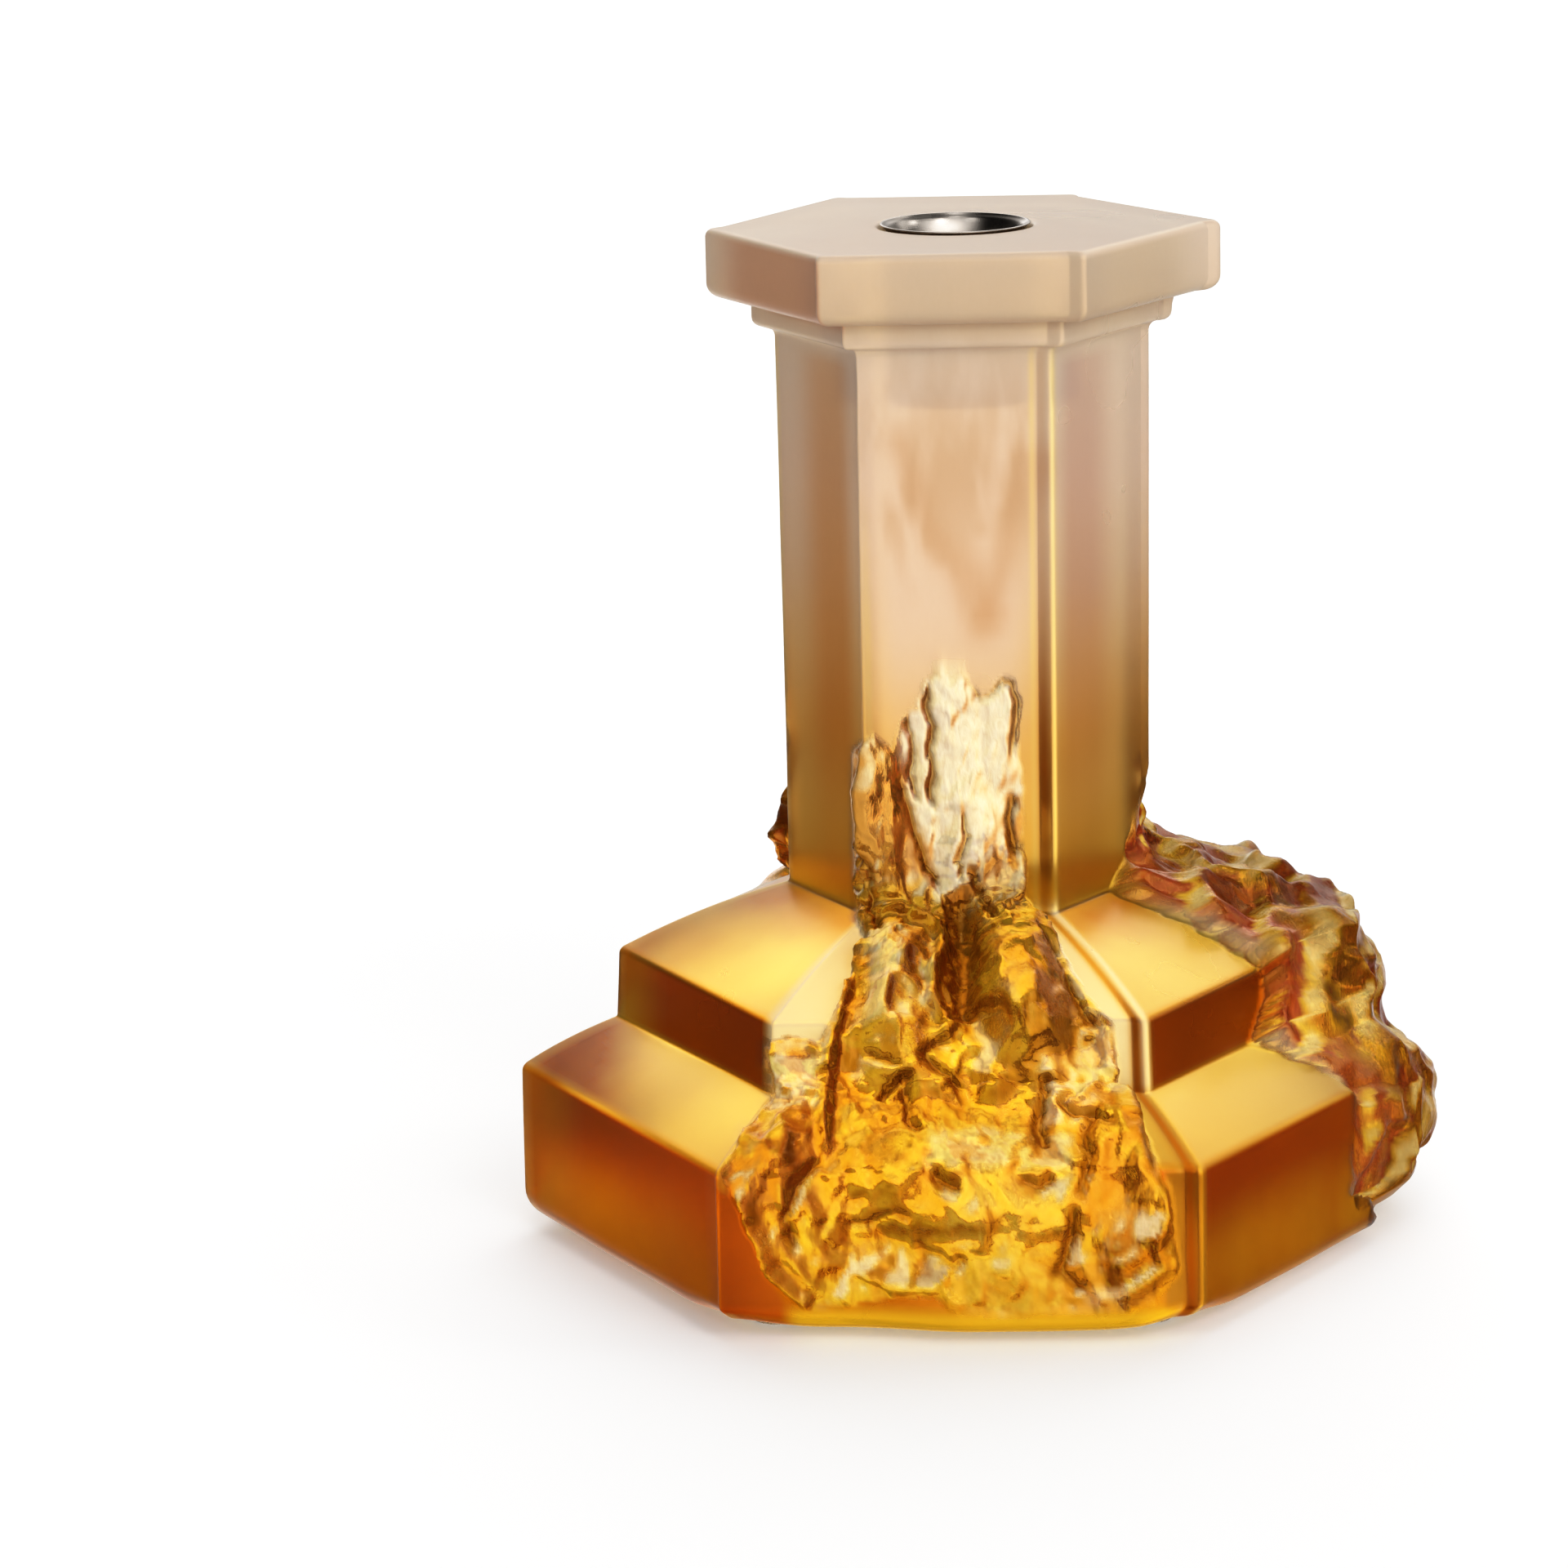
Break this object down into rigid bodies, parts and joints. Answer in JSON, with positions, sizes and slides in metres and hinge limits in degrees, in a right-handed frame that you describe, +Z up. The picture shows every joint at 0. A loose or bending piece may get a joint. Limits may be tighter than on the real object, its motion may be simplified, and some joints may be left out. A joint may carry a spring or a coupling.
{
  "type": "candlestick",
  "caption": "Hexagonal cast glass candlestick with a two-step base, alternate faces left as broken rock, and a lift-out metal cup for a taper candle.",
  "frame": {"origin": "middle of the footprint box, on the surface the feet stand on; the column's axis stands at x -2.46 mm, y +2.30 mm, because the rock on one side reaches further out", "axes": "+Z up along the column, the front rock face looks along -Y, +X to the right seen from the front"},
  "size_m": [0.1762, 0.1504, 0.1891],
  "materials": {
    "amber_glass": "satin frosted cast glass, amber at the base fading to beige at the top, polished on the rock faces",
    "satin_nickel": "spun, satin nickel",
    "ring_rubber": "matt",
    "bumper": "clear polyurethane"
  },
  "bodies": {
    "stand": {"glass_body": "amber_glass", "bumper_foot_1": "bumper", "bumper_foot_2": "bumper", "bumper_foot_3": "bumper", "bumper_foot_4": "bumper", "bumper_foot_5": "bumper", "bumper_foot_6": "bumper"},
    "cup": {"candle_cup": "satin_nickel", "cup_grip_ring": "ring_rubber"}
  },
  "joints": [
    {"name": "cup_lift", "type": "slide", "parent": "stand", "child": "cup", "axis": [0, 0, 1], "range_m": [0, 0.031]}
  ]
}
